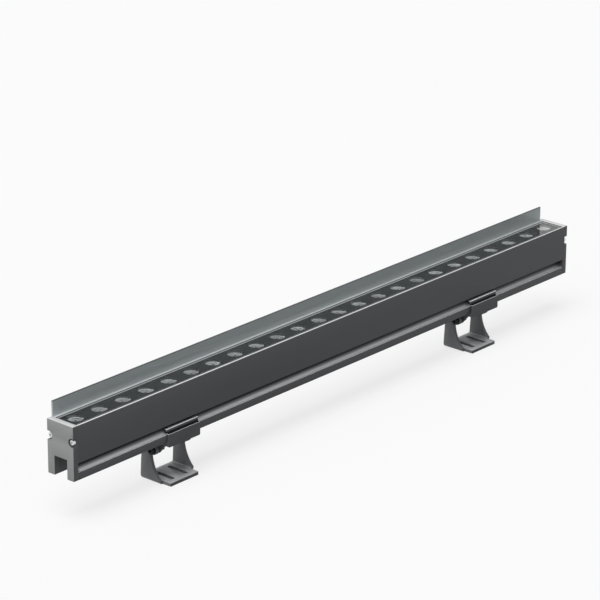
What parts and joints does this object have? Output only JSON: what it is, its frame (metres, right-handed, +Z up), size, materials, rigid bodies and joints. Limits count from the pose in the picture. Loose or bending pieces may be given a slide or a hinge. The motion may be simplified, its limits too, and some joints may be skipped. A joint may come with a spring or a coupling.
{
  "type": "outdoor wall washer light",
  "caption": "Long slim wall washer with a row of round lenses under glass, an anti-glare plate and sliding, tilting bracket feet.",
  "frame": {"origin": "under the middle of the lamp, on the surface that the feet stand on", "axes": "+X along the lamp, -Y its front, +Z up, towards the lenses"},
  "size_m": [1, 0.0516, 0.1546],
  "materials": {
    "body": "dark grey anodised",
    "cap": "grey powder coat",
    "steel": "bright stainless",
    "rubber": "matt",
    "seal": "pale silicone",
    "glass": "clear tempered",
    "mask": "matt black",
    "lens": "clear moulded",
    "chip": "phosphor",
    "board": "white solder mask",
    "driver": "green solder mask",
    "nylon": "natural nylon",
    "core": "sintered ferrite",
    "capacitor": "sleeved",
    "terminal": "moulded",
    "lead": "insulated wire",
    "pad": "thermal pad",
    "gland": "black polyamide",
    "foot": "grey powder coat"
  },
  "bodies": {
    "lamp": {"housing": "body", "visor": "body", "visor_screws": "steel", "end_cap_left": "cap", "end_cap_right": "cap", "end_gasket_left": "rubber", "end_gasket_right": "rubber", "cap_screws": "steel", "glass": "glass", "glass_seal": "seal", "lens_mask": "mask", "lenses": "lens", "led_chips": "chip", "led_board": "board", "thermal_pad": "pad", "board_screws": "steel", "driver_board": "driver", "board_spacers": "nylon", "driver_screws": "steel", "transformer": "core", "capacitors": "capacitor", "terminal_block": "terminal", "supply_leads": "lead", "led_leads": "lead", "shelf_grommet": "rubber", "gland_body": "gland", "gland_nut": "gland", "gland_seal": "rubber", "gland_locknut": "steel"},
    "clip_left": {"clip_left": "body", "lock_screws_left": "steel", "pivot_bolts_left": "steel", "pivot_washers_left": "steel", "spring_washers_left": "steel", "pivot_nuts_left": "steel"},
    "foot_left": {"yoke_left": "foot"},
    "clip_right": {"clip_right": "body", "lock_screws_right": "steel", "pivot_bolts_right": "steel", "pivot_washers_right": "steel", "spring_washers_right": "steel", "pivot_nuts_right": "steel"},
    "foot_right": {"yoke_right": "foot"}
  },
  "joints": [
    {"name": "clip_left_slide", "type": "slide", "parent": "lamp", "child": "clip_left", "axis": [1, 0, 0], "range_m": [-0.15, 0.26]},
    {"name": "foot_left_tilt", "type": "hinge", "parent": "clip_left", "child": "foot_left", "pos_m": [-0.307, 0, 0.046], "axis": [1, 0, 0], "range_deg": [-90, 45]},
    {"name": "clip_right_slide", "type": "slide", "parent": "lamp", "child": "clip_right", "axis": [1, 0, 0], "range_m": [-0.26, 0.15]},
    {"name": "foot_right_tilt", "type": "hinge", "parent": "clip_right", "child": "foot_right", "pos_m": [0.307, 0, 0.046], "axis": [1, 0, 0], "range_deg": [-90, 45]}
  ]
}
